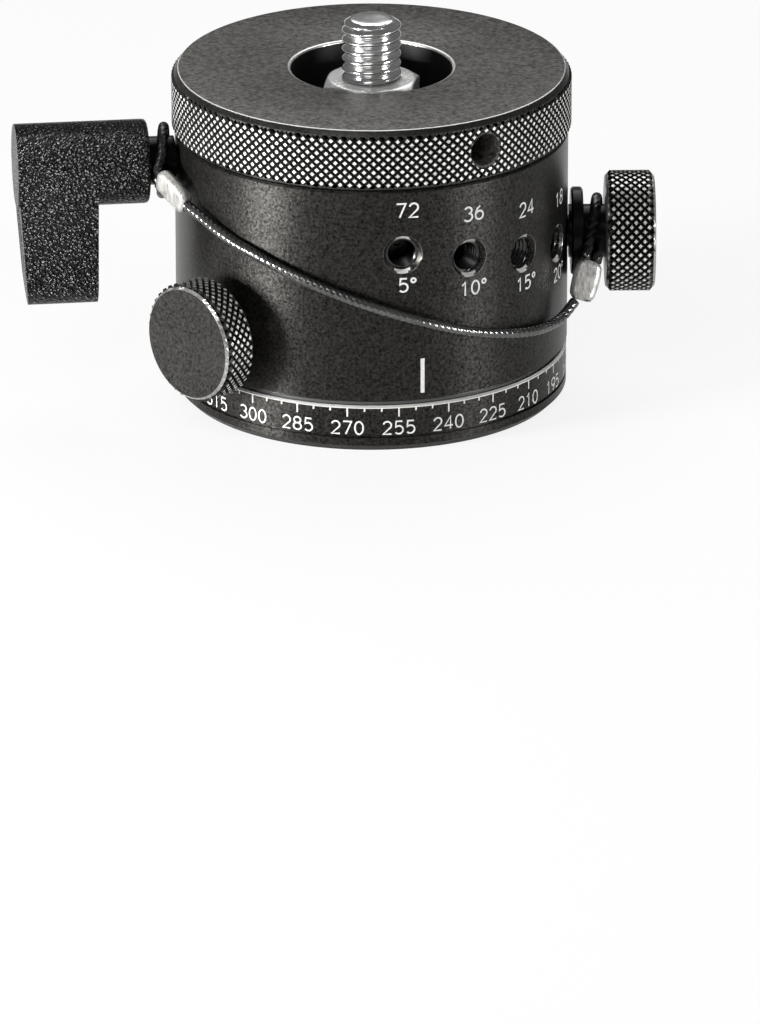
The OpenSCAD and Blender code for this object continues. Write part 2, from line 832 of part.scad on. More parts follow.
module index_spring() {
    steps = spring_turns * turn_steps;
    r = ball_pocket_r - spring_side_gap - spring_wire_d / 2;
    z0 = ball_centre_r + ball_r + spring_wire_d / 2 + seat_gap;
    z1 = pocket_r0 + pocket_l - spring_wire_d / 2 - face_gap;
    path = [
        for (i = [0:steps])
            let (a = i * 360 / turn_steps)
                [r * cos(a), r * sin(a), z0 + (z1 - z0) * i / steps]
    ];
    dirs = [for (i = [0:steps]) mid_tangent(path, i)];
    color([0.7, 0.7, 0.7])
    at_azimuth(index_az, index_z)
        swept_tube(path, dirs, [for (p = path) unit([p[0], p[1], 0])], spring_wire_d, spring_sides);
}

// Loose washer between the body and the wire's eye
module index_washer()
    color([0.1, 0.1, 0.1])
    at_azimuth(index_az, index_z)
        translate([0, 0, body_r + index_washer_gap])
            difference() {
                turned_disc(index_washer_d / 2, index_washer_t, edge, edge);
                translate([0, 0, -over])
                    cylinder(r = plunger_stem_r + run_gap, h = index_washer_t + 2 * over);
            }

// ---- Safety wire ----

lever_eye_centre = (body_r + lever_eye_gap) * outward(lever_az) + [0, 0, clamp_z];
lever_eye_tip = lever_eye_centre + turned(lever_az, lever_tip_offset);
lever_way = unit(wire_start - lever_eye_tip);
plunger_eye_centre = (body_r + index_eye_gap) * outward(index_az) + [0, 0, index_z];
plunger_eye_tip = plunger_eye_centre + turned(index_az, plunger_tip_offset);
plunger_ferrule_end = wire_end + turned(index_az, plunger_end_offset);
plunger_way = unit(plunger_ferrule_end - plunger_eye_tip);
lever_face = outward(wire_route[0][0]);
plunger_face = [0, -1, 0];

module safety_wire()
    color([0.35, 0.35, 0.35])
    swept_tube(
        wire_points,
        concat(
            [lever_way],
            [for (i = [1:len(wire_points) - 2]) mid_tangent(wire_points, i)],
            [-plunger_way]
        ),
        [for (p = wire_points) unit([p[0], p[1], 0])],
        wire_d
    );

// Oval crimped sleeve between two points; `face` is the direction its flat side faces
module ferrule(a, b, face) {
    way = unit(b - a);
    side = unit(cross(way, face));
    flat = cross(side, way);
    half = (ferrule_w - ferrule_t) / 2;
    color([0.8, 0.8, 0.78])
    multmatrix([
        [side[0], flat[0], way[0], a[0]],
        [side[1], flat[1], way[1], a[1]],
        [side[2], flat[2], way[2], a[2]],
        [0, 0, 0, 1]
    ])
        linear_extrude(norm(b - a)) {
            translate([-half, 0])
                circle(d = ferrule_t);
            translate([half, 0])
                circle(d = ferrule_t);
            square([2 * half, ferrule_t], center = true);
        }
}

module lever_eye()
    color([0.15, 0.15, 0.15])
    wire_eye(
        lever_eye_centre, outward(lever_az), eye_r, lever_eye_tip,
        lever_way, unit(cross(lever_way, lever_face)), wire_d
    );

module plunger_eye()
    color([0.15, 0.15, 0.15])
    wire_eye(
        plunger_eye_centre, outward(index_az), eye_r, plunger_eye_tip,
        plunger_way, unit(cross(plunger_way, plunger_face)), wire_d
    );

module lever_ferrule()
    ferrule(lever_eye_tip, wire_start, lever_face);

module plunger_ferrule()
    ferrule(plunger_eye_tip, plunger_ferrule_end, plunger_face);

base_plate();
spindle();
spindle_screws();
index_drum();
drum_screws();
pan_washer();
thrust_washer();
disc_spring();
retaining_nut();
housing();
pan_bush();
hub_washer();
platform_disc();
clamp_hub();
hub_screws();
camera_screw();
camera_lock_nut();
clamp_lever();
clamp_stud();
clamp_shoe();
lock_knob();
lock_stud();
lock_shoe();
index_knob();
index_barrel();
index_ball();
index_spring();
index_washer();
safety_wire();
lever_eye();
plunger_eye();
lever_ferrule();
plunger_ferrule();
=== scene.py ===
import math

import bmesh
import bpy
from mathutils import Matrix, Vector


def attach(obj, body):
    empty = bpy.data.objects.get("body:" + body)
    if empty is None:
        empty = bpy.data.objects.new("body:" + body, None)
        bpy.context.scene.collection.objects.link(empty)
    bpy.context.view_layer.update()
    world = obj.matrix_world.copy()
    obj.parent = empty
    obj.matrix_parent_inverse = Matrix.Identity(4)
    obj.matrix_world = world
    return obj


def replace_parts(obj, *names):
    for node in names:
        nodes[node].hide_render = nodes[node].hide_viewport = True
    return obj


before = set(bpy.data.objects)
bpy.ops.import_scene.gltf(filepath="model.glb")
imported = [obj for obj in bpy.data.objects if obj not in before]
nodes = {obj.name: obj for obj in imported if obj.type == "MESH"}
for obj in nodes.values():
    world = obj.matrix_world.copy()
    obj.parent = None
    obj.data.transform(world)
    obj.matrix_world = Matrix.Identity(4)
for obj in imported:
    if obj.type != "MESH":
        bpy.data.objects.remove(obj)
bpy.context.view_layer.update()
mm = 0.001
weld = 0.004

# Sizes below are millimetres and degrees in the frame of the solids; azimuth 0 is the front.
# Points nearer than `weld` become one where forms are joined.


def outward(azimuth):
    turn = math.radians(azimuth)
    return Vector((math.sin(turn), -math.cos(turn), 0))


def onSide(azimuth, radius, height):
    return outward(azimuth) * radius + Vector((0, 0, height))


# A step given as (along, outward, up) at an azimuth
def turned(azimuth, step):
    turn = math.radians(azimuth)
    along = Vector((math.cos(turn), math.sin(turn), 0))
    return along * step[0] + outward(azimuth) * step[1] + Vector((0, 0, step[2]))


# Local +Z points outward, +X down and +Y towards growing azimuth
def atAzimuth(azimuth, height):
    turn = math.radians(azimuth)
    along = Vector((math.cos(turn), math.sin(turn), 0))
    rows = Matrix((Vector((0, 0, -1)), along, outward(azimuth))).transposed().to_4x4()
    return Matrix.Translation(Vector((0, 0, height))) @ rows


# ---- Mesh helpers ----

def makePiece(name, bm, material, body, place=None, smooth=35):
    if place is not None:
        bmesh.ops.transform(bm, matrix=place, verts=bm.verts)
    bmesh.ops.transform(bm, matrix=Matrix.Scale(mm, 4), verts=bm.verts)
    limit = math.radians(smooth)
    for face in bm.faces:
        face.smooth = True
    for edge in bm.edges:
        if len(edge.link_faces) == 2 and edge.calc_face_angle(0) > limit:
            edge.smooth = False
    mesh = bpy.data.meshes.new(name)
    bm.to_mesh(mesh)
    bm.free()
    piece = bpy.data.objects.new(name, mesh)
    bpy.context.scene.collection.objects.link(piece)
    for each in material if isinstance(material, (list, tuple)) else [material]:
        mesh.materials.append(each)
    if body:
        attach(piece, body)
    return piece


# Turns a closed or open profile of (radius, height) points round the Z axis
def lathe(bm, profile, steps=192, closed=True, material=0):
    verts = [bm.verts.new((radius, 0, height)) for radius, height in profile]
    edges = [bm.edges.new(pair) for pair in zip(verts, verts[1:])]
    if closed:
        edges.append(bm.edges.new((verts[-1], verts[0])))
    before = set(bm.faces)
    bmesh.ops.spin(
        bm, geom=verts + edges, axis=(0, 0, 1), cent=(0, 0, 0),
        angle=2 * math.pi, steps=steps, use_merge=True,
    )
    made = [face for face in bm.faces if face not in before]
    for face in made:
        face.material_index = material
    bmesh.ops.remove_doubles(bm, verts=bm.verts, dist=1e-5)
    bmesh.ops.recalc_face_normals(bm, faces=[face for face in made if face.is_valid])


# Rounds the corners of a profile: a point with a third number gets that corner radius
def rounded(points, steps=3):
    out = []
    count = len(points)
    for i, point in enumerate(points):
        if len(point) < 3 or not point[2]:
            out.append((point[0], point[1]))
            continue
        here = Vector(point[:2])
        back = (Vector(points[i - 1][:2]) - here).normalized()
        ahead = (Vector(points[(i + 1) % count][:2]) - here).normalized()
        start = here + back * point[2]
        end = here + ahead * point[2]
        for k in range(steps + 1):
            t = k / steps
            mixed = start * (1 - t) ** 2 + here * 2 * t * (1 - t) + end * t ** 2
            out.append((mixed.x, mixed.y))
    return out


# Band of diamond knurls on a cylinder; `crown` is the flat share of a diamond, `peak` the material of
# its crown, where a highlight is painted
def knurl(bm, radius, low, high, count, rows, depth, crown=0.48, material=0, peak=0):
    valley = radius - depth
    tall = (high - low) / rows
    step = 2 * math.pi / count

    def vert(turn, height, r):
        return bm.verts.new((r * math.cos(turn), r * math.sin(turn), height))

    grid = {}

    def corner(i, j):
        key = (i % (2 * count), j)
        if key not in grid:
            grid[key] = vert(i * step / 2, low + j * tall / 2, valley)
        return grid[key]

    faces = []
    crownFaces = []
    for j in range(1, 2 * rows):
        for i in range(j % 2, 2 * count, 2):
            left, right = corner(i - 1, j), corner(i + 1, j)
            below, above = corner(i, j - 1), corner(i, j + 1)
            middle = i * step / 2
            height = low + j * tall / 2
            tops = [
                vert(middle + dx * step * crown / 2, height + dz * tall * crown / 2, radius)
                for dx, dz in ((-1, 0), (0, -1), (1, 0), (0, 1))
            ]
            ring = [left, below, right, above]
            for k in range(4):
                n = (k + 1) % 4
                faces.append(bm.faces.new((ring[k], ring[n], tops[n], tops[k])))
            crownFaces.append(bm.faces.new(tops))
    for j, up in ((0, 1), (2 * rows, -1)):
        for i in range(1, 2 * count, 2):
            tri = [corner(i - 1, j), corner(i + 1, j), corner(i, j + up)]
            faces.append(bm.faces.new(tri if up > 0 else tri[::-1]))
    for face in faces:
        face.material_index = material
    for face in crownFaces:
        face.material_index = peak


# One continuous screw thread with rounded crests, between two heights; `limit` tapers its end
def thread(bm, major, minor, pitch, low, high, steps, limit=None):
    parts = 10
    fullness = 0.75
    waves = [0.5 - 0.5 * math.cos(2 * math.pi * k / parts) for k in range(parts + 1)]
    shape = [(k / parts, minor + (major - minor) * wave ** fullness) for k, wave in enumerate(waves)]
    turns = int((high - low) / pitch) + 2
    columns = []
    for j in range(turns * steps + 1):
        turn = 2 * math.pi * j / steps
        base = low - pitch + pitch * j / steps
        column = []
        for part, radius in shape:
            height = min(max(base + part * pitch, low), high)
            r = min(radius, limit(height)) if limit else radius
            column.append(bm.verts.new((r * math.cos(turn), r * math.sin(turn), height)))
        columns.append(column)
    for a, b in zip(columns, columns[1:]):
        for k in range(parts):
            flat = [(column[k].co - column[k + 1].co).length < 1e-6 for column in (a, b)]
            if not all(flat):
                bm.faces.new((a[k], b[k], b[k + 1], a[k + 1]))
    bmesh.ops.remove_doubles(bm, verts=bm.verts, dist=1e-5)


# Skin between closed loops of as many vertices each
def joinLoops(bm, loops, material=0):
    count = len(loops[0])
    for a, b in zip(loops, loops[1:]):
        for k in range(count):
            n = (k + 1) % count
            bm.faces.new((a[k], a[n], b[n], b[k])).material_index = material


# Leaves the piece with the mesh that its modifiers make
def applyModifiers(piece):
    graph = bpy.context.evaluated_depsgraph_get()
    made = bpy.data.meshes.new_from_object(piece.evaluated_get(graph))
    piece.modifiers.clear()
    piece.data = made


# Rounds the edges that bend by more than an angle
def soften(piece, width, angle):
    bevel = piece.modifiers.new("soften", "BEVEL")
    bevel.width = width * mm
    bevel.segments = 3
    bevel.limit_method = "ANGLE"
    bevel.angle_limit = math.radians(angle)


# Gives one of the solids its finish
def dress(name, finish):
    nodes[name].data.materials.clear()
    nodes[name].data.materials.append(finish)


# Points of a Catmull-Rom curve through the given points
def smoothPath(points, parts=6):
    padded = [points[0] * 2 - points[1]] + points + [points[-1] * 2 - points[-2]]
    out = []
    for a, b, c, d in zip(padded, padded[1:], padded[2:], padded[3:]):
        for k in range(parts):
            t = k / parts
            out.append(0.5 * (
                2 * b + (c - a) * t + (2 * a - 5 * b + 4 * c - d) * t ** 2
                + (3 * b - a - 3 * c + d) * t ** 3
            ))
    out.append(points[-1].copy())
    return out


strandSet = dict(strands=6, lay=6.5, lobeSteps=4, cover=0.11, lobeShape=0.6)


# Stranded wire: a lobed section that turns as it runs along the path
def strandedTube(bm, path, diameter):
    s = strandSet
    radius = diameter / 2
    count = s["strands"] * s["lobeSteps"]
    travelled = 0
    loops = []
    last = None
    for i, point in enumerate(path):
        if i:
            travelled += (point - path[i - 1]).length
        ahead = path[min(i + 1, len(path) - 1)] - path[max(i - 1, 0)]
        ahead.normalize()
        if last is None:
            steep = abs(ahead.z) > 0.9
            side = ahead.cross(Vector((1, 0, 0) if steep else (0, 0, 1))).normalized()
        else:
            side = (last - ahead * last.dot(ahead)).normalized()
        last = side
        other = ahead.cross(side)
        twist = 2 * math.pi * travelled / s["lay"]
        loop = []
        for k in range(count):
            a = 2 * math.pi * k / count
            lobe = abs(math.cos(a * s["strands"] / 2)) ** s["lobeShape"]
            r = radius * (1 - s["cover"] + s["cover"] * lobe)
            way = side * math.cos(a + twist) + other * math.sin(a + twist)
            loop.append(bm.verts.new(point + way * r))
        loops.append(loop)
    joinLoops(bm, loops)
    bm.faces.new(loops[0][::-1])
    bm.faces.new(loops[-1])


# ---- Plain stroke numbers ----

def arc(x, y, rx, ry, start, end, steps=14):
    return [
        (x + rx * math.cos(math.radians(start + (end - start) * k / steps)),
         y + ry * math.sin(math.radians(start + (end - start) * k / steps)))
        for k in range(steps + 1)
    ]


# Strokes of each sign in a box one unit tall, each with whether it closes on itself
numberStrokes = {
    "0": [(arc(0.31, 0.5, 0.31, 0.5, 0, 345, 23), True)],
    "1": [([(0.1, 0.78), (0.34, 1.0), (0.34, 0.0)], False)],
    "2": [(arc(0.31, 0.70, 0.3, 0.3, 165, -35) + [(0.0, 0.0), (0.62, 0.0)], False)],
    "3": [
        (arc(0.29, 0.76, 0.28, 0.24, 150, -80), False),
        (arc(0.29, 0.28, 0.33, 0.28, 85, -150), False),
    ],
    "4": [([(0.64, 0.28), (0.0, 0.28), (0.46, 1.0), (0.46, 0.0)], False)],
    "5": [([(0.56, 1.0), (0.1, 1.0), (0.06, 0.54)] + arc(0.3, 0.32, 0.32, 0.32, 125, -140), False)],
    "6": [
        (arc(0.31, 0.3, 0.31, 0.3, 0, 345, 23), True),
        (arc(0.62, 0.35, 0.62, 0.65, 180, 112), False),
    ],
    "7": [([(0.0, 1.0), (0.62, 1.0), (0.2, 0.0)], False)],
    "8": [
        (arc(0.31, 0.76, 0.26, 0.24, 0, 345, 23), True),
        (arc(0.31, 0.27, 0.31, 0.27, 0, 345, 23), True),
    ],
    "9": [
        (arc(0.31, 0.7, 0.31, 0.3, 0, 345, 23), True),
        (arc(0.0, 0.65, 0.62, 0.65, 0, -68), False),
    ],
    "°": [(arc(0.16, 0.84, 0.16, 0.16, 0, 345, 17), True)],
}
numberPitch = 0.88
numberWidth = 0.62


# Flat ribbon along a stroke, as (x, y) corner pairs
def ribbon(points, width, closed):
    pairs = []
    count = len(points)
    for i, point in enumerate(points):
        here = Vector(point)
        back = Vector(points[i - 1]) if closed or i else None
        ahead = Vector(points[(i + 1) % count]) if closed or i < count - 1 else None
        first = (here - back).normalized() if back is not None else (ahead - here).normalized()
        second = (ahead - here).normalized() if ahead is not None else first
        mid = (first + second).normalized() if (first + second).length > 1e-6 else first
        normal = Vector((-mid.y, mid.x))
        stretch = min(1.6, 1 / max(0.4, abs(mid.dot(first))))
        pairs.append((here + normal * width / 2 * stretch, here - normal * width / 2 * stretch))
    return pairs


# Draws numbers on a cylinder, centred at an azimuth and a height
def numberOnSide(bm, text, azimuth, height, tall, width, radius):
    total = numberPitch * (len(text) - 1) + numberWidth
    for place, sign in enumerate(text):
        for points, closed in numberStrokes[sign]:
            moved = [
                ((x + place * numberPitch - total / 2) * tall, (y - 0.5) * tall) for x, y in points
            ]
            rows = [
                [
                    bm.verts.new(onSide(azimuth + math.degrees(p.x / radius), radius, height + p.y))
                    for p in pair
                ]
                for pair in ribbon(moved, width, closed)
            ]
            if closed:
                rows.append(rows[0])
            for a, b in zip(rows, rows[1:]):
                bm.faces.new((a[0], a[1], b[1], b[0]))


def lineOnSide(bm, azimuth, low, high, width, radius):
    half = math.degrees(width / 2 / radius)
    corners = [(-half, low), (half, low), (half, high), (-half, high)]
    bm.faces.new([bm.verts.new(onSide(azimuth + a, radius, z)) for a, z in corners])


# ---- Materials ----

# Sets inputs of a node, each to a value or to a link from a signal
def feed(node, inputs):
    for slot, value in inputs.items():
        if isinstance(value, Signal):
            value.tree.links.new(value.socket, node.inputs[slot])
        else:
            node.inputs[slot].default_value = value


# An output socket that can be calculated with as a number can
class Signal:
    def __init__(self, tree, socket):
        self.tree = tree
        self.socket = socket

    @staticmethod
    def node(tree, kind, output=0, inputs=None, **settings):
        made = tree.nodes.new(kind)
        for key, value in settings.items():
            setattr(made, key, value)
        feed(made, inputs or {})
        return Signal(tree, made.outputs[output])

    def calc(self, operation, other, swapped=False):
        pair = {0: other, 1: self} if swapped else {0: self, 1: other}
        return Signal.node(self.tree, "ShaderNodeMath", inputs=pair, operation=operation)

    def __add__(self, other):
        return self.calc("ADD", other)

    def __radd__(self, other):
        return self.calc("ADD", other, True)

    def __sub__(self, other):
        return self.calc("SUBTRACT", other)

    def __rsub__(self, other):
        return self.calc("SUBTRACT", other, True)

    def __mul__(self, other):
        return self.calc("MULTIPLY", other)

    def __rmul__(self, other):
        return self.calc("MULTIPLY", other, True)

    def __truediv__(self, other):
        return self.calc("DIVIDE", other)

    def __rtruediv__(self, other):
        return self.calc("DIVIDE", other, True)

    def __pow__(self, other):
        return self.calc("POWER", other)

    def __rpow__(self, other):
        return self.calc("POWER", other, True)

    def atMost(self, other):
        return self.calc("MINIMUM", other)

    def atLeast(self, other):
        return self.calc("MAXIMUM", other)

    def within(self, low, high):
        return self.atLeast(low).atMost(high)

    def noise(self, scale, detail=3.0, roughness=0.5):
        inputs = {"Vector": self, "Scale": scale, "Detail": detail, "Roughness": roughness}
        return Signal.node(self.tree, "ShaderNodeTexNoise", "Fac", inputs)

    def cells(self, scale):
        inputs = {"Vector": self, "Scale": scale}
        return Signal.node(self.tree, "ShaderNodeTexVoronoi", "Distance", inputs)

    def stretched(self, scale):
        return Signal.node(self.tree, "ShaderNodeMapping", inputs={"Vector": self, "Scale": scale})

    # Sockets 6 and 7 of a colour mix are its colours, and output 2 the mixed one
    def mixed(self, look):
        inputs = {0: self, 6: (*look["dark"], 1), 7: (*look["light"], 1)}
        return Signal.node(self.tree, "ShaderNodeMix", 2, inputs, data_type="RGBA")

    def bump(self, look):
        inputs = {"Height": self, "Distance": look["depth"], "Strength": look["strength"]}
        return Signal.node(self.tree, "ShaderNodeBump", inputs=inputs)


def newMaterial(name):
    material = bpy.data.materials.new(name)
    material.use_nodes = True
    tree = material.node_tree
    return material, tree.nodes["Principled BSDF"], Signal.node(tree, "ShaderNodeTexCoord", "Object")


grainDefaults = dict(
    fineness=0.62, blotch=90, speckSize=1500, speckFrom=0.6, speckGain=6, speckTone=0.15, grainTone=0.5,
    blotchTone=0.4, roughGrain=0.12, roughBlotch=0.12, metal=1.0, specular=0.5, turned=0.0,
    depth=0.00002, strength=0.5,
)
lineDefaults = dict(
    lines=(60, 60, 9000), fineness=0.6, blotch=160, lineTone=0.5, blotchTone=0.5, roughLine=0.2,
    roughBlotch=0.15, metal=1.0, depth=0.00001, strength=0.35,
)
paintDefaults = dict(mottle=2200, roughMottle=0.2, depth=0.000008, strength=0.4)


# Satin or bead-blasted metal: fine grain, faint blotches and a little dust in the finish. `turned`
# draws its highlights out along the axis, as the fine rings of a lathe do.
def grainyMetal(name, look):
    look = {**grainDefaults, **look}
    material, shader, place = newMaterial(name)
    grain = place.noise(look["grain"], roughness=look["fineness"])
    blotch = place.noise(look["blotch"])
    speck = ((place.noise(look["speckSize"], 1.0) - look["speckFrom"]) * look["speckGain"]).within(0, 1)
    tone = (grain - 0.5) * look["grainTone"] + (blotch - 0.5) * look["blotchTone"] + 0.5
    rough = (blotch - 0.5) * look["roughBlotch"] + (grain - 0.5) * look["roughGrain"] + look["rough"]
    feed(shader, {
        "Base Color": (tone + speck * look["speckTone"]).within(0, 1).mixed(look),
        "Roughness": rough.within(0.05, 1),
        "Metallic": look["metal"],
        "Specular IOR Level": look["specular"],
        "Anisotropic": look["turned"],
        "Anisotropic Rotation": 0.25,
        "Normal": grain.bump(look),
    })
    return material


# Turned or ground metal: fine lines round the axis that the tool left
def turnedMetal(name, look):
    look = {**lineDefaults, **look}
    material, shader, place = newMaterial(name)
    lines = place.stretched(look["lines"]).noise(1.0, roughness=look["fineness"])
    blotch = place.noise(look["blotch"])
    tone = (lines - 0.5) * look["lineTone"] + (blotch - 0.5) * look["blotchTone"] + 0.5
    rough = (lines - 0.5) * look["roughLine"] + (blotch - 0.5) * look["roughBlotch"] + look["rough"]
    feed(shader, {
        "Base Color": tone.within(0, 1).mixed(look),
        "Roughness": rough.within(0.05, 1),
        "Metallic": look["metal"],
        "Normal": lines.bump(look),
    })
    return material


# Black wrinkle paint: a pebbled skin of small rounded bumps, with highlights painted pale on their tops
def wrinklePaint(name, look):
    material, shader, place = newMaterial(name)
    pebbles = place.cells(look["pebble"])
    fine = place.noise(look["pebble"] * look["fine"], 2.0)
    height = (1 - pebbles) * look["pebbleShare"] + fine * look["fineShare"]
    feed(shader, {
        # The highest pebble tops turn pale: painted highlight
        "Base Color": ((height - look["highlightFrom"]) * look["highlightGain"]).within(0, 1).mixed(look),
        "Roughness": ((fine - 0.5) * look["roughFine"] + look["rough"]).within(0.1, 1),
        "Specular IOR Level": look["specular"],
        "Normal": height.bump(look),
    })
    return material


# Filled engraving and plastic washers: a soft even skin with faint mottling
def softPaint(name, look):
    look = {**paintDefaults, **look}
    material, shader, place = newMaterial(name)
    mottle = place.noise(look["mottle"])
    feed(shader, {
        "Base Color": mottle.mixed(look),
        "Roughness": (mottle - 0.5) * look["roughMottle"] + look["rough"],
        "Normal": mottle.bump(look),
    })
    return material


bodyLook = dict(
    dark=(0.003, 0.0029, 0.0027), light=(0.040, 0.0384, 0.0354), rough=0.34, grain=2300, metal=0.78,
    grainTone=2.6, blotchTone=0.2, roughBlotch=0.04, specular=0.12, turned=0.66, depth=0.00009,
)
baseLook = dict(bodyLook, light=(0.042, 0.0403, 0.0372))
# Painted light: the platform's top face, black anodised like the sides, is coloured lighter for the
# light falling on it
platformLitTopLook = dict(
    dark=(0.014, 0.0134, 0.012), light=(0.150, 0.143, 0.131), rough=0.45, grain=1400, metal=0.12,
    grainTone=3.0, speckTone=0.35, specular=0.18, depth=0.0001,
)
# Painted shade: the recess round the nut is coloured darker than the anodising round it
recessShadeLook = dict(
    dark=(0.003, 0.003, 0.003), light=(0.010, 0.010, 0.0095), rough=0.50, grain=4200, metal=0.3,
    specular=0.2,
)
knurlLook = dict(
    dark=(0.003, 0.003, 0.003), light=(0.050, 0.0493, 0.0472), rough=0.32, grain=2200, metal=0.7,
    grainTone=1.4,
)
# Painted highlight: the flat crowns of the black knurls are coloured pale
knurlCrownHighlightLook = dict(
    dark=(0.26, 0.255, 0.243), light=(0.95, 0.935, 0.90), rough=0.28, grain=1500, metal=0.5,
    grainTone=1.8,
)
knobFaceLook = dict(
    dark=(0.0025, 0.0024, 0.0022), light=(0.027, 0.0262, 0.0243), rough=0.46, grain=2000, metal=0.3,
    grainTone=2.6, specular=0.09, depth=0.0001,
)
knobEdgeLook = dict(dark=(0.14, 0.138, 0.133), light=(0.50, 0.492, 0.475), rough=0.32, metal=0.8)
blackSteelLook = dict(
    dark=(0.001, 0.001, 0.001), light=(0.005, 0.005, 0.0048), rough=0.24, grain=3000, metal=0.4,
    specular=0.14,
)
# The light colour is the painted highlight on the pebble tops
leverLook = dict(
    dark=(0.002, 0.002, 0.002), light=(0.27, 0.27, 0.263), rough=0.22, pebble=1950, fine=1.3,
    pebbleShare=0.75, fineShare=0.45, highlightFrom=0.74, highlightGain=4.5, roughFine=0.35, specular=0.18,
    depth=0.0007, strength=1.0,
)
leverEdgeLook = dict(
    dark=(0.001, 0.001, 0.001), light=(0.005, 0.005, 0.0048), rough=0.30, grain=2600, metal=0.0,
    specular=0.3,
)
# Bright cut edges, coloured pale also to paint the highlights along them
cutEdgeAndHighlightLook = dict(dark=(0.50, 0.49, 0.475), light=(0.84, 0.83, 0.81), rough=0.26, metal=0.6)
darkThreadLook = dict(dark=(0.02, 0.02, 0.02), light=(0.10, 0.10, 0.098), rough=0.25)
screwLook = dict(
    dark=(0.60, 0.60, 0.595), light=(0.92, 0.92, 0.91), rough=0.20, lines=(300, 300, 5200),
)
nutLook = dict(
    dark=(0.66, 0.66, 0.655), light=(0.96, 0.96, 0.95), rough=0.26, lines=(1400, 1400, 1400),
    metal=0.5, depth=0.00003,
)
steelLook = dict(dark=(0.34, 0.34, 0.335), light=(0.6, 0.6, 0.59), rough=0.32)
# The index drum is coloured dark to paint the shade at the bottom of the index holes
drumShadeLook = dict(dark=(0.02, 0.02, 0.019), light=(0.08, 0.078, 0.075), rough=0.36)
brassLook = dict(dark=(0.42, 0.30, 0.12), light=(0.68, 0.52, 0.25), rough=0.33)
springLook = dict(dark=(0.22, 0.22, 0.22), light=(0.5, 0.5, 0.49), rough=0.28)
wireLook = dict(
    dark=(0.008, 0.008, 0.008), light=(0.22, 0.22, 0.215), rough=0.16, lines=(2600, 2600, 2600),
    metal=0.85, lineTone=0.9, depth=0.00003,
)
wireDarkLook = dict(
    dark=(0.002, 0.002, 0.002), light=(0.012, 0.012, 0.0115), rough=0.16, lines=(2600, 2600, 2600),
    metal=0.0,
)
ferruleLook = dict(
    dark=(0.14, 0.137, 0.131), light=(0.60, 0.588, 0.563), rough=0.42, lines=(3200, 3200, 420),
    metal=0.7, lineTone=1.8, depth=0.00006,
)
markLook = dict(dark=(0.30, 0.30, 0.292), light=(0.60, 0.60, 0.586), rough=0.5)
whitePlasticLook = dict(dark=(0.7, 0.7, 0.68), light=(0.82, 0.82, 0.8), rough=0.5)
blackPlasticLook = dict(dark=(0.02, 0.02, 0.02), light=(0.05, 0.05, 0.05), rough=0.5)

bodyMetal = grainyMetal("body_anodised", bodyLook)
baseMetal = grainyMetal("base_anodised", baseLook)
platformLitTop = grainyMetal("platform_anodised", platformLitTopLook)
recessShade = grainyMetal("recess_painted_shade", recessShadeLook)
knurlMetal = grainyMetal("knurl_anodised", knurlLook)
knurlCrownHighlight = grainyMetal("knurl_crown_painted_highlight", knurlCrownHighlightLook)
knobFace = grainyMetal("knob_face", knobFaceLook)
knobEdge = turnedMetal("knob_edge", knobEdgeLook)
blackSteel = grainyMetal("black_steel", blackSteelLook)
leverPaint = wrinklePaint("lever_wrinkle", leverLook)
leverEdge = grainyMetal("lever_edge", leverEdgeLook)
cutEdgeAndHighlight = turnedMetal("cut_edge_and_painted_highlight", cutEdgeAndHighlightLook)
darkThread = turnedMetal("dark_thread", darkThreadLook)
screwMetal = turnedMetal("bright_steel", screwLook)
nutMetal = turnedMetal("nut_steel", nutLook)
steel = turnedMetal("turned_steel", steelLook)
drumShade = turnedMetal("drum_steel", drumShadeLook)
brass = turnedMetal("bearing_brass", brassLook)
springSteel = turnedMetal("spring_steel", springLook)
wireSteel = turnedMetal("wire_steel", wireLook)
wireDark = turnedMetal("wire_dark", wireDarkLook)
ferruleMetal = turnedMetal("ferrule_aluminium", ferruleLook)
markPaint = softPaint("mark_paint", markLook)
whitePlastic = softPaint("white_plastic", whitePlasticLook)
blackPlastic = softPaint("black_plastic", blackPlasticLook)
print("materials ready")

# ---- Camera ----

cameraSet = dict(lens=355.67, film=36, place=(0.001361, -1.52702, 0.58479), down=21.693, far=20)
cameraData = bpy.data.cameras.new("camera")
cameraData.lens = cameraSet["lens"]
cameraData.sensor_width = cameraSet["film"]
cameraData.clip_end = cameraSet["far"]
camera = bpy.data.objects.new("camera", cameraData)
bpy.context.scene.collection.objects.link(camera)
camera.location = cameraSet["place"]
camera.rotation_euler = (math.radians(90 - cameraSet["down"]), 0, 0)
bpy.context.scene.camera = camera
print("camera ready")

# ---- Safety wire, eyes and ferrules ----

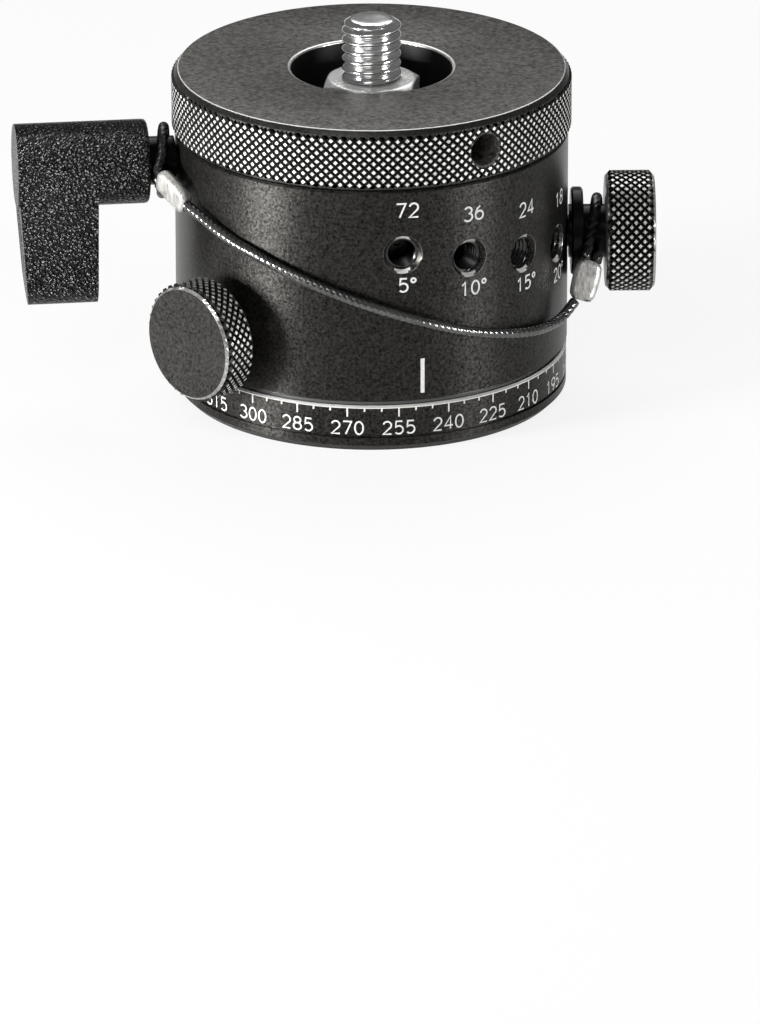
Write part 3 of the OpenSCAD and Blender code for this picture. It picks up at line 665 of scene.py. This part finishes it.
# The route's points are (azimuth, radius, height); an offset is (along, outward, up) at its azimuth
wireSet = dict(
    diameter=1.7,
    route=[
        (-61, 33.5, 36.2), (-56, 32.9, 35.3), (-51, 32.6, 34.4), (-46, 32.6, 33.6),
        (-41, 32.6, 32.8), (-36, 32.6, 32.1), (-31, 32.6, 31.2), (-26, 32.6, 30.3),
        (-21, 32.6, 29.3), (-16, 32.6, 28.3), (-11, 32.6, 27.3), (-6, 32.6, 26.3),
        (-1, 32.6, 25.3), (4, 32.6, 24.3), (9, 32.6, 23.3), (14, 32.6, 22.3),
        (19, 32.6, 21.3), (24, 32.6, 20.3), (29, 32.6, 19.4), (34, 32.6, 18.6),
        (39, 32.6, 17.9), (44, 32.6, 17.2), (49, 32.6, 16.6), (54, 32.6, 16.1),
        (59, 32.6, 15.8), (64, 32.8, 15.7), (68, 33.3, 16.3), (72, 34.2, 17.8),
    ],
    eyeRadius=5.3,
    legGap=0.05,
    leverEye=dict(azimuth=-83, radius=33.6, height=39.5, offset=(6.4, 1.0, -0.6)),
    plungerEye=dict(azimuth=91, radius=35.95, height=25.8, offset=(-9.1, -1.0, -1.8)),
    plungerEndOffset=(0, 0.9, 0.2),
)
ferruleSet = dict(
    wide=4.4, thick=2.3, stations=32, corners=48,
    lip=0.34, lipLength=1.1, lipShape=2.2,
    waist=0.84, belly=0.17, bellyShape=0.8,
    crimps=(0.3, 0.68), crimpDepth=0.10, crimpLength=0.13,
    stubLow=-0.4, coat=0.25, core=0.34, coreShare=0.62, stubSides=24,
)
routePoints = [onSide(*point) for point in wireSet["route"]]
wirePath = smoothPath(routePoints, 8)
wireLength = sum((b - a).length for a, b in zip(wirePath, wirePath[1:]))
bm = bmesh.new()
strandedTube(bm, wirePath, wireSet["diameter"])
wirePiece = makePiece("wire_strands", bm, wireSteel, "turning_body", smooth=50)
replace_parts(wirePiece, "safety_wire")


# Loop of wire round a stem; both legs run side by side into the ferrule, from the tip it returns
def makeEye(name, eye, wireEnd, face, node):
    centre = onSide(eye["azimuth"], eye["radius"], eye["height"])
    tip = centre + turned(eye["azimuth"], eye["offset"])
    wayOut = (wireEnd - tip).normalized()
    across = wayOut.cross(face).normalized()
    reach = tip - centre
    way = reach.normalized()
    axis = outward(eye["azimuth"])
    flat = (axis - way * axis.dot(way)).normalized()
    side = flat.cross(way)
    half = math.acos(min(1, wireSet["eyeRadius"] / reach.length))
    sign = -1 if side.dot(across) < 0 else 1
    leg = across * (wireSet["diameter"] / 2 + wireSet["legGap"]) * sign
    points = [tip + leg, tip + leg - wayOut]
    steps = 16
    for i in range(steps + 1):
        a = half + i * (2 * math.pi - 2 * half) / steps
        points.append(centre + (way * math.cos(a) + side * math.sin(a)) * wireSet["eyeRadius"])
    points += [tip - leg - wayOut, tip - leg]
    bm = bmesh.new()
    strandedTube(bm, smoothPath(points, 5), wireSet["diameter"])
    piece = makePiece(name, bm, wireDark, "turning_body", smooth=50)
    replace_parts(piece, node)
    return tip


# Crimped oval sleeve, fuller in its middle, with the cut wire's stubs showing at its wire end
def makeFerrule(name, start, end, face, node, stubs):
    f = ferruleSet
    way = (end - start).normalized()
    side = way.cross(face).normalized()
    flat = side.cross(way)
    length = (end - start).length
    half = (f["wide"] - f["thick"]) / 2
    outline = []
    for k in range(f["corners"]):
        a = 2 * math.pi * k / f["corners"]
        x = math.cos(a) * f["thick"] / 2 + math.copysign(half, math.cos(a))
        outline.append((x, math.sin(a) * f["thick"] / 2))
    bm = bmesh.new()
    loops = []
    for j in range(f["stations"] + 1):
        t = j / f["stations"]
        fromEnd = min(t, 1 - t) * length
        lip = 1 - f["lip"] * max(0, 1 - fromEnd / f["lipLength"]) ** f["lipShape"]
        full = f["waist"] + f["belly"] * math.sin(math.pi * t) ** f["bellyShape"]
        press = 1 - sum(
            f["crimpDepth"] * math.exp(-((t - crimp) / f["crimpLength"]) ** 2) for crimp in f["crimps"]
        )
        loops.append([
            bm.verts.new(start + way * (length * t) + side * x * full * lip + flat * y * press * lip)
            for x, y in outline
        ])
    joinLoops(bm, loops)
    bm.faces.new(loops[0][::-1])
    bm.faces.new(loops[-1])
    strand = wireSet["diameter"] / 2
    turns = [2 * math.pi * k / f["stubSides"] for k in range(f["stubSides"])]
    for stub in stubs:
        for radius, reach, finish in (
            (strand, f["coat"], 1), (strand * f["coreShare"], f["core"], 2),
        ):
            low, high = [
                [
                    bm.verts.new(
                        stub + way * depth + side * math.cos(a) * radius + flat * math.sin(a) * radius
                    )
                    for a in turns
                ]
                for depth in (f["stubLow"], reach)
            ]
            joinLoops(bm, [low, high], finish)
            bm.faces.new(high).material_index = finish
            bm.faces.new(low[::-1]).material_index = finish
    bmesh.ops.recalc_face_normals(bm, faces=bm.faces)
    finishes = [ferruleMetal, wireDark, steel]
    piece = makePiece(name, bm, finishes, "turning_body", smooth=40)
    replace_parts(piece, node)
    return piece


leverFace = outward(wireSet["route"][0][0])
plungerFace = Vector((0, -1, 0))
leverTip = makeEye("lever_eye_strands", wireSet["leverEye"], routePoints[0], leverFace, "lever_eye")
plungerEnd = routePoints[-1] + turned(wireSet["plungerEye"]["azimuth"], wireSet["plungerEndOffset"])
plungerTip = makeEye(
    "plunger_eye_strands", wireSet["plungerEye"], plungerEnd, plungerFace, "plunger_eye",
)
leverFerrule = makeFerrule(
    "lever_ferrule_crimped", leverTip, routePoints[0], leverFace, "lever_ferrule", stubs=[],
)
plungerFerrule = makeFerrule(
    "plunger_ferrule_crimped", plungerTip, plungerEnd, plungerFace, "plunger_ferrule",
    stubs=[plungerEnd * 2 - routePoints[-1]],
)
routePoints[0] * mm
[point * mm for point in wirePath]
print("wire", round(wireLength, 1), "mm")

# ---- Platform ----

platformSet = dict(
    radius=31.99, low=44.1, high=54.0, bandLow=44.45, bandHigh=53.1, knurls=133, rows=6, depth=0.42,
    foot=31.3, footRise=0.27, topChamfer=0.85, edge=31.0, edgeMiddle=30.93, edgeTop=30.83,
    edgeDrop=0.1, middleDrop=0.03, recess=12.95, recessBevel=0.45, recessMiddle=0.16, recessDrop=0.35,
    floor=47.1, bore=4.29, spigot=15.48, spigotLow=43.4,
)
litTopFinish, sideFinish, crownHighlightFinish, edgeAndHighlightFinish, recessShadeFinish = range(5)
p = platformSet
valley = p["radius"] - p["depth"]
bm = bmesh.new()
for finish, profile in (
    (sideFinish, rounded([
        (p["bore"], p["spigotLow"]), (p["spigot"], p["spigotLow"]), (p["spigot"], p["low"]),
        (p["foot"], p["low"], 0.1), (valley, p["low"] + p["footRise"]), (valley, p["bandLow"]),
    ])),
    (sideFinish, [
        (valley, p["bandHigh"]), (valley, p["high"] - p["topChamfer"]),
        (p["edge"], p["high"] - p["edgeDrop"]),
    ]),
    # The top edge and the recess lip are bright cut edges with a painted highlight
    (edgeAndHighlightFinish, [
        (p["edge"], p["high"] - p["edgeDrop"]), (p["edgeMiddle"], p["high"] - p["middleDrop"]),
        (p["edgeTop"], p["high"]),
    ]),
    # The top face takes the lighter colour: painted light
    (litTopFinish, [(p["edgeTop"], p["high"]), (p["recess"] + p["recessBevel"], p["high"])]),
    (edgeAndHighlightFinish, [
        (p["recess"] + p["recessBevel"], p["high"]),
        (p["recess"] + p["recessMiddle"], p["high"] - p["edgeDrop"]),
        (p["recess"], p["high"] - p["recessDrop"]),
    ]),
    # The recess takes the darker colour: painted shade
    (recessShadeFinish, rounded([
        (p["recess"], p["high"] - p["recessDrop"]), (p["recess"], p["floor"], 0.1),
        (p["bore"], p["floor"]), (p["bore"], p["spigotLow"]),
    ])),
):
    lathe(bm, profile, steps=2 * p["knurls"], closed=False, material=finish)
knurl(
    bm, p["radius"], p["bandLow"], p["bandHigh"], p["knurls"], p["rows"], p["depth"],
    material=sideFinish, peak=crownHighlightFinish,
)
bmesh.ops.remove_doubles(bm, verts=bm.verts, dist=weld)
bmesh.ops.recalc_face_normals(bm, faces=bm.faces)
platform = makePiece(
    "platform_knurled", bm, [platformLitTop, knurlMetal, knurlCrownHighlight, cutEdgeAndHighlight, recessShade], "platform",
)
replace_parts(platform, "platform_disc")

# Tommy bar hole, cut with its countersink
barSet = dict(azimuth=34.5, height=49.05, radius=2.65, bevel=0.45, reach=8.0, past=1.01)
h = barSet
barEnd = p["radius"] - h["reach"]
bm = bmesh.new()
lathe(bm, [
    (0, barEnd), (h["radius"], barEnd), (h["radius"], p["radius"] - h["bevel"]),
    (h["radius"] + h["bevel"] + 1, p["radius"] + h["past"]), (0, p["radius"] + h["past"]),
], steps=48, closed=False)
bmesh.ops.recalc_face_normals(bm, faces=bm.faces)
cutter = makePiece("cutter", bm, blackSteel, None, atAzimuth(h["azimuth"], h["height"]))
cut = platform.modifiers.new("bar_hole", "BOOLEAN")
cut.object = cutter
cut.solver = "EXACT"
applyModifiers(platform)
bpy.data.objects.remove(cutter)
print("platform", len(platform.data.polygons), "faces")


# Bright edge round a hole in a curved side: the drilled edge, coloured pale all round also as a painted
# highlight
def holeTrim(name, azimuth, height, surface, inner, outer):
    steps, proud, sunk, wall = 96, 0.03, 0.02, 0.5
    deep = outer - inner
    bm = bmesh.new()
    loops = []
    for inset, r in (
        (sunk, outer), (deep / 2, (inner + outer) / 2), (deep, inner), (deep + wall, inner),
    ):
        loop = []
        for k in range(steps):
            a = 2 * math.pi * k / steps
            y = r * math.sin(a)
            z = math.sqrt(surface ** 2 - y ** 2) - inset + proud
            loop.append(bm.verts.new((r * math.cos(a), y, z)))
        loops.append(loop)
    joinLoops(bm, loops)
    bmesh.ops.recalc_face_normals(bm, faces=bm.faces)
    place = atAzimuth(azimuth, height)
    makePiece(name, bm, cutEdgeAndHighlight, "turning_body", place)


# ---- Body with its index holes ----

dress("housing", bodyMetal)

# Hole number `station` holds the plunger; the others climb and fall from it in a helical row
indexSet = dict(
    azimuth=91, height=25.8, step=20.5, drop=1.87, station=5, hole=2.6, mouth=3.15,
    stops=[72, 36, 24, 18, 15, 12, 10, 8, 6, 4], surface=31.5, proud=0.02, line=0.3,
    stopsMark=dict(ahead=1.4, up=7.4, tall=2.3), stepMark=dict(ahead=2.0, up=-5.1, tall=2.2),
    threadMinor=2.24, threadMajor=2.58, pitch=0.75, threadLow=26.0, threadHigh=30.4,
    pointer=dict(azimuth=14.9, low=9.8, high=15.6, width=0.65),
)
holes = indexSet
markRadius = holes["surface"] + holes["proud"]
marks = bmesh.new()
for i, stops in enumerate(holes["stops"]):
    away = i + 1 - holes["station"]
    azimuth = holes["azimuth"] + away * holes["step"]
    height = holes["height"] - away * holes["drop"]
    for text, mark in ((str(stops), holes["stopsMark"]), (str(360 // stops) + "°", holes["stepMark"])):
        numberOnSide(
            marks, text, azimuth + mark["ahead"], height + mark["up"], mark["tall"], holes["line"],
            markRadius,
        )
    if not away:
        continue
    holeTrim(
        "index_mouth_%d" % (i + 1), azimuth, height, holes["surface"], holes["hole"], holes["mouth"],
    )
    bm = bmesh.new()
    thread(
        bm, holes["threadMinor"], holes["threadMajor"], holes["pitch"],
        holes["threadLow"], holes["threadHigh"], steps=40,
    )
    bmesh.ops.recalc_face_normals(bm, faces=bm.faces)
    bmesh.ops.reverse_faces(bm, faces=bm.faces)
    makePiece(
        "index_thread_%d" % (i + 1), bm, darkThread, "turning_body", atAzimuth(azimuth, height),
        smooth=25,
    )
pointer = holes["pointer"]
lineOnSide(marks, pointer["azimuth"], pointer["low"], pointer["high"], pointer["width"], markRadius)
makePiece("index_marks", marks, markPaint, "turning_body")
print("body ready")

# ---- Graduated base ----

dress("base_plate", baseMetal)
scaleSet = dict(
    surface=31.42, zero=263, small=5, big=15, top=7.5, longLow=6.0, shortLow=6.9,
    figureHeight=4.13, figureTall=2.12, line=0.26,
    edgeHighlightRing=[(31.43, 7.42), (31.43, 7.56), (31.14, 7.83), (31.0, 7.83), (31.0, 7.6)],
)
s = scaleSet
marks = bmesh.new()
for value in range(0, 360, s["small"]):
    azimuth = s["zero"] - value
    named = value % s["big"] == 0
    low = s["longLow"] if named else s["shortLow"]
    lineOnSide(marks, azimuth, low, s["top"], s["line"], s["surface"])
    if named:
        numberOnSide(
            marks, str(value), azimuth, s["figureHeight"], s["figureTall"], s["line"], s["surface"],
        )
makePiece("scale_marks", marks, markPaint, "base")
# A bright ring laid over the base's top edge: a cut edge chamfer with a painted highlight along it
bm = bmesh.new()
lathe(bm, s["edgeHighlightRing"])
makePiece("base_edge_highlight", bm, cutEdgeAndHighlight, "base")
print("base ready")


# ---- Knobs ----

# Knurled knob drawn along +Z: rim in diamonds with painted highlights on their crowns, polished
# chamfers and a satin face
def makeKnob(name, look, azimuth, height, body, node):
    rimFinish, faceFinish, chamferFinish, crownHighlightFinish = range(4)
    low, high, chamfer = look["low"], look["high"], look["chamfer"]
    valley = look["radius"] - look["depth"]
    faceHeight = high - look["faceDrop"]
    bm = bmesh.new()
    for finish, profile in (
        (chamferFinish, look["inner"] + rounded([(valley - 0.35, low, 0.1), (valley, low + chamfer)])),
        (chamferFinish, [(valley, high - chamfer), (valley - chamfer, high)]),
        (faceFinish, [(valley - chamfer, high), (valley - look["rim"], faceHeight), (0, faceHeight)]),
    ):
        lathe(bm, profile, steps=2 * look["knurls"], closed=False, material=finish)
    knurl(
        bm, look["radius"], low + chamfer, high - chamfer, look["knurls"], look["rows"],
        look["depth"], material=rimFinish, peak=crownHighlightFinish,
    )
    bmesh.ops.remove_doubles(bm, verts=bm.verts, dist=weld)
    bmesh.ops.recalc_face_normals(bm, faces=bm.faces)
    finishes = [knurlMetal, knobFace, knobEdge, knurlCrownHighlight]
    place = atAzimuth(azimuth, height)
    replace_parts(makePiece(name, bm, finishes, body, place), node)


knobSet = dict(radius=9.69, knurls=40, depth=0.45, chamfer=0.4, rim=0.75, faceDrop=0.02)
lockKnob = dict(
    knobSet, low=34.7, high=40.6, rows=4,
    inner=[(2.47, 38.8), (2.47, 31.9), (4.3, 31.9), (4.5, 32.1), (4.5, 34.7)],
)
makeKnob("lock_knob_knurled", lockKnob, -46, 17.2, "lock_handle", "lock_knob")
indexKnob = dict(knobSet, low=37.5, high=45.4, rows=5, inner=[(3.02, 43.3), (3.02, 37.5)])
makeKnob(
    "index_knob_knurled", indexKnob, holes["azimuth"], holes["height"], "index_plunger", "index_knob",
)
print("knobs ready")

# ---- Clamp lever ----

leverSet = dict(
    azimuth=-83, height=39.5, near=36.1, far=57.3, hub=6.75, tip=4.7, reach=23.4, width=12.8,
    tilt=5.5, drop=6, corner=0.45,
)
v = leverSet
leverPlace = atAzimuth(v["azimuth"], v["height"])
bm = bmesh.new()
lathe(bm, rounded([
    (0, v["near"]), (v["hub"], v["near"], 0.8), (v["hub"], v["far"], 0.3), (0, v["far"]),
], 4), steps=72, closed=False)
bmesh.ops.recalc_face_normals(bm, faces=bm.faces)
hub = makePiece("lever_hub_form", bm, leverPaint, None, leverPlace)

# The arm's outline is two half circles, joined by the lines that touch both
span = v["reach"] - v["tip"]
lean = math.asin((v["hub"] - v["tip"]) / span)
quarter = math.pi / 2
steps = 32
outline = []
for centre, r, start, sweep in (
    (0, v["hub"], quarter - lean, math.pi + 2 * lean),
    (span, v["tip"], lean - quarter, math.pi - 2 * lean),
):
    for k in range(steps + 1):
        a = start + sweep * k / steps
        outline.append((centre + r * math.cos(a), r * math.sin(a)))
bm = bmesh.new()
slope = math.tan(math.radians(v["tilt"]))
lower = [bm.verts.new((x, y, v["far"] - v["width"])) for x, y in outline]
upper = [bm.verts.new((x, y, v["far"] - max(0, x - v["drop"]) * slope)) for x, y in outline]
bm.faces.new(lower[::-1])
bm.faces.new(upper)
joinLoops(bm, [lower, upper])
bmesh.ops.recalc_face_normals(bm, faces=bm.faces)
lever = makePiece("clamp_lever_painted", bm, leverPaint, None, leverPlace)
join = lever.modifiers.new("hub", "BOOLEAN")
join.operation = "UNION"
join.object = hub
join.solver = "EXACT"
soften(lever, v["corner"], 40)
lever.modifiers["soften"].harden_normals = True
lever.modifiers["soften"].material = 1
lever.data.materials.append(leverEdge)
applyModifiers(lever)
bpy.data.objects.remove(hub)
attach(lever, "clamp_handle")
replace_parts(lever, "clamp_lever")
print("lever ready")

# ---- Camera screw ----

screwSet = dict(
    major=4.76, minor=4.02, pitch=1.5875, high=62.0, shoulder=52.2, tip=3.46, slope=1.3 / 0.9,
    crown=0.08, crownRing=1.2, seated=4.26, bottom=43.4, foot=0.3, hidden=3, steps=96,
)
c = screwSet
bm = bmesh.new()
thread(
    bm, c["major"], c["minor"], c["pitch"], c["shoulder"], c["high"], c["steps"],
    limit=lambda height: c["tip"] + (c["high"] - height) * c["slope"],
)
crown = c["high"] + c["crown"]
for profile in (
    rounded([(0, crown), (c["tip"] - c["crownRing"], crown, 0.5), (c["tip"], c["high"])]),
    [
        (0, c["bottom"]), (c["seated"] - c["foot"], c["bottom"]),
        (c["seated"], c["bottom"] + c["foot"]), (c["seated"], c["shoulder"]),
        (c["hidden"], c["shoulder"]),
    ],
):
    lathe(bm, profile, steps=c["steps"], closed=False)
bmesh.ops.recalc_face_normals(bm, faces=bm.faces)
stud = makePiece(
    "camera_screw_threaded", bm, screwMetal, "platform", smooth=60,
)
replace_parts(stud, "camera_screw")

# Nut with softened corners, from its solid
bm = bmesh.new()
bm.from_mesh(nodes["camera_lock_nut"].data)
bmesh.ops.remove_doubles(bm, verts=bm.verts, dist=1e-7)
bmesh.ops.dissolve_limit(bm, angle_limit=math.radians(2), verts=bm.verts, edges=bm.edges)
mesh = bpy.data.meshes.new("camera_lock_nut_softened")
bm.to_mesh(mesh)
bm.free()
nut = bpy.data.objects.new("camera_lock_nut_softened", mesh)
bpy.context.scene.collection.objects.link(nut)
mesh.materials.append(nutMetal)
soften(nut, 0.35, 25)
applyModifiers(nut)
for face in nut.data.polygons:
    face.use_smooth = True
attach(nut, "platform")
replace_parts(nut, "camera_lock_nut")
print("screw and nut ready")

# ---- Finishes of the solids that stay ----

# The index drum is dark for painted shade in the holes
finishes = {
    "spindle": steel, "spindle_screws": steel, "drum_screws": blackSteel, "index_drum": drumShade,
    "pan_washer": blackPlastic, "thrust_washer": brass, "disc_spring": springSteel,
    "retaining_nut": steel, "pan_bush": brass, "hub_washer": whitePlastic, "clamp_hub": steel,
    "hub_screws": steel, "clamp_stud": blackSteel, "clamp_shoe": brass, "lock_stud": steel,
    "lock_shoe": brass, "index_barrel": blackSteel, "index_ball": screwMetal,
    "index_spring": springSteel, "index_washer": blackSteel,
}
for name, finish in finishes.items():
    dress(name, finish)

# ---- Floor, world and lamps ----

# The paper glows white to the camera and, less, to the metal that mirrors it. The rest of what they
# see is its lit surface, which keeps the object's shadow.
floorSet = dict(
    half=3.0, drop=0.02, grain=900, dark=(0.84, 0.84, 0.835), light=(0.88, 0.88, 0.875), rough=0.9,
    seenGlow=0.84, mirroredGlow=0.3,
)
bm = bmesh.new()
bmesh.ops.create_grid(bm, x_segments=24, y_segments=24, size=floorSet["half"])
for vert in bm.verts:
    vert.co.z = -floorSet["drop"] * mm
mesh = bpy.data.meshes.new("floor")
bm.to_mesh(mesh)
bm.free()
floor = bpy.data.objects.new("floor", mesh)
bpy.context.scene.collection.objects.link(floor)
paper, shader, place = newMaterial("floor_paper")
feed(shader, {
    "Base Color": place.noise(floorSet["grain"]).mixed(floorSet),
    "Roughness": floorSet["rough"],
})
tree = paper.node_tree
seen = Signal.node(tree, "ShaderNodeLightPath", "Is Camera Ray") * floorSet["seenGlow"]
mirrored = Signal.node(tree, "ShaderNodeLightPath", "Is Glossy Ray") * floorSet["mirroredGlow"]
glow = Signal.node(tree, "ShaderNodeEmission", inputs={"Color": (1, 1, 1, 1), "Strength": 1.0})
lit = Signal(tree, shader.outputs[0])
blend = Signal.node(tree, "ShaderNodeMixShader", inputs={0: seen.atLeast(mirrored), 1: lit, 2: glow})
feed(tree.nodes["Material Output"], {0: blend})
mesh.materials.append(paper)

worldStrength = 0.14
world = bpy.data.worlds.new("world")
world.use_nodes = True
bpy.context.scene.world = world
feed(world.node_tree.nodes["Background"], {"Color": (1, 1, 1, 1), "Strength": worldStrength})

# The strips stand low, where the upright sides mirror them to the camera
lampAim = Vector((0, 0, 0.03))
lamps = [
    dict(name="left_strip", azimuth=-61, distance=0.55, height=0.07, size=(0.16, 0.12), power=9),
    dict(name="right_strip", azimuth=60, distance=0.6, height=0.08, size=(0.16, 0.14), power=3.2),
    dict(name="top_soft", azimuth=172, distance=0.7, height=0.9, size=(0.9, 0.9), power=6),
    dict(name="front_soft", azimuth=-20, distance=1.5, height=1.3, size=(0.8, 0.8), power=8),
]
for lamp in lamps:
    data = bpy.data.lights.new(lamp["name"], "AREA")
    data.shape = "RECTANGLE"
    data.size, data.size_y = lamp["size"]
    data.energy = lamp["power"]
    light = bpy.data.objects.new(lamp["name"], data)
    bpy.context.scene.collection.objects.link(light)
    light.location = onSide(lamp["azimuth"], lamp["distance"], lamp["height"])
    light.rotation_euler = (lampAim - light.location).to_track_quat("-Z", "Y").to_euler()
bpy.context.scene.view_settings.view_transform = "Standard"
print("stage ready")
